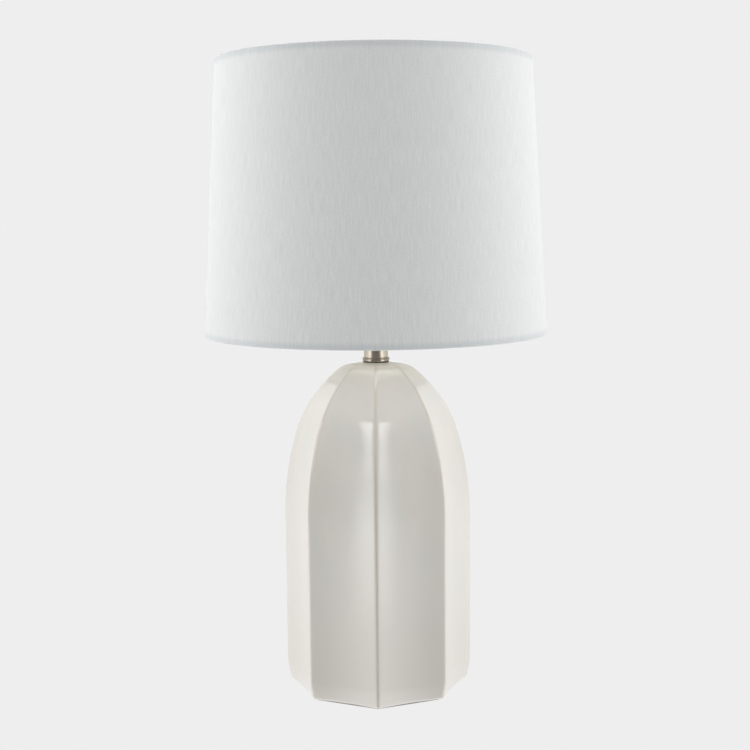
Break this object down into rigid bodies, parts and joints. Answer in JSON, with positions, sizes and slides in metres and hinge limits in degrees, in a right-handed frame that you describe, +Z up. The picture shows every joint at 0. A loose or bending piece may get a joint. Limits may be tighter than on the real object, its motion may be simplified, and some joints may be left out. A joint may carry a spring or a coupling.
{
  "type": "column table lamp",
  "caption": "Table lamp with a fluted octagonal ceramic column, short nickel neck, harp, screw lampholder with turn switch, and a tapered drum shade held by a finial.",
  "frame": {"origin": "centre of the foot, on the surface the lamp stands on", "axes": "+Z up along the column, -Y the front, +X to the right seen from the front; the cord inlet is in the back, left of the middle"},
  "size_m": [0.357, 0.357, 0.6576],
  "materials": {
    "felt": "dense wool felt, undyed white",
    "glaze": "ivory gloss glaze that breaks warm on the ridges",
    "bush_plastic": "ivory nylon",
    "rubber": "black, matt",
    "zinc_steel": "zinc plated",
    "brushed_nickel": "brushed and lacquered nickel plate",
    "harp_nickel": "bright nickel plate",
    "spider_white": "white baked enamel",
    "styrene": "translucent white styrene sheet",
    "linen": "white linen-look cloth with upright slubs",
    "hem_tape": "the same cloth, doubled and rolled over the rim",
    "brass": "plain brass",
    "paper": "brown vulcanised fibre",
    "phenolic": "black moulded phenolic",
    "knob_black": "black moulded knob",
    "bulb_shell": "rolled aluminium",
    "bulb_body": "white polycarbonate",
    "bulb_diffuser": "opal polycarbonate",
    "led_board": "white solder mask on aluminium"
  },
  "bodies": {
    "base": {"felt_pad": "felt", "ceramic_body": "glaze", "cord_inlet_bushing": "bush_plastic", "bottom_rubber_washer": "rubber", "bottom_steel_washer": "zinc_steel", "bottom_lock_washer": "zinc_steel", "bottom_hex_nut": "zinc_steel", "threaded_rod": "zinc_steel", "rod_bottom_bush": "bush_plastic", "rod_top_bush": "bush_plastic", "neck_seat_washer": "rubber", "neck_collar": "brushed_nickel", "neck_tube": "brushed_nickel", "neck_cap": "brushed_nickel", "harp_saddle": "harp_nickel", "harp_wire": "harp_nickel", "harp_stud": "harp_nickel", "saddle_lock_nut": "zinc_steel", "holder_cap": "brushed_nickel", "holder_set_screw": "zinc_steel", "holder_shell": "brushed_nickel", "holder_paper_liner": "paper", "holder_core": "phenolic", "holder_screw_shell": "brass", "holder_centre_contact": "brass", "terminal_screw_left": "brass", "terminal_screw_right": "zinc_steel"},
    "shade": {"spider_hub": "spider_white", "spider_arm_1": "spider_white", "spider_arm_2": "spider_white", "spider_arm_3": "spider_white", "shade_top_ring": "spider_white", "shade_bottom_ring": "spider_white", "shade_liner": "styrene", "shade_fabric": "linen", "shade_top_hem": "hem_tape", "shade_bottom_hem": "hem_tape"},
    "finial_thread": {"finial_insert": "brass"},
    "finial": {"finial_knob": "brushed_nickel"},
    "left_sleeve": {"harp_sleeve_left": "harp_nickel"},
    "right_sleeve": {"harp_sleeve_right": "harp_nickel"},
    "switch": {"switch_rotor": "phenolic", "switch_key": "zinc_steel", "switch_knob": "knob_black"},
    "bulb_thread": {"bulb_screw_shell": "bulb_shell"},
    "bulb": {"bulb_tip_contact": "zinc_steel", "bulb_insulator": "knob_black", "bulb_housing": "bulb_body", "bulb_led_board": "led_board", "bulb_globe": "bulb_diffuser"}
  },
  "joints": [
    {"name": "shade_turn", "type": "hinge", "parent": "base", "child": "shade", "pos_m": [0, 0, 0.6386], "axis": [0, 0, 1], "continuous": true},
    {"name": "finial_rise", "type": "slide", "parent": "base", "child": "finial_thread", "axis": [0, 0, 1], "range_m": [0, 0.0094]},
    {"name": "finial_unscrew", "type": "hinge", "parent": "finial_thread", "child": "finial", "pos_m": [0, 0, 0.6404], "axis": [0, 0, 1], "range_deg": [0, 3600]},
    {"name": "left_sleeve_lift", "type": "slide", "parent": "base", "child": "left_sleeve", "axis": [0, 0, 1], "range_m": [0, 0.018]},
    {"name": "right_sleeve_lift", "type": "slide", "parent": "base", "child": "right_sleeve", "axis": [0, 0, 1], "range_m": [0, 0.018]},
    {"name": "switch_turn", "type": "hinge", "parent": "base", "child": "switch", "pos_m": [0, -0.0133, 0.4238], "axis": [0, -1, 0], "continuous": true},
    {"name": "bulb_rise", "type": "slide", "parent": "base", "child": "bulb_thread", "axis": [0, 0, 1], "range_m": [0, 0.01815]},
    {"name": "bulb_unscrew", "type": "hinge", "parent": "bulb_thread", "child": "bulb", "pos_m": [0, 0, 0.435], "axis": [0, 0, 1], "range_deg": [0, 1800]}
  ],
  "couplings": [
    {"joint": "finial_rise", "follows": "finial_unscrew", "m_per_rad": 0.00014961},
    {"joint": "bulb_rise", "follows": "bulb_unscrew", "m_per_rad": 0.00057773}
  ]
}
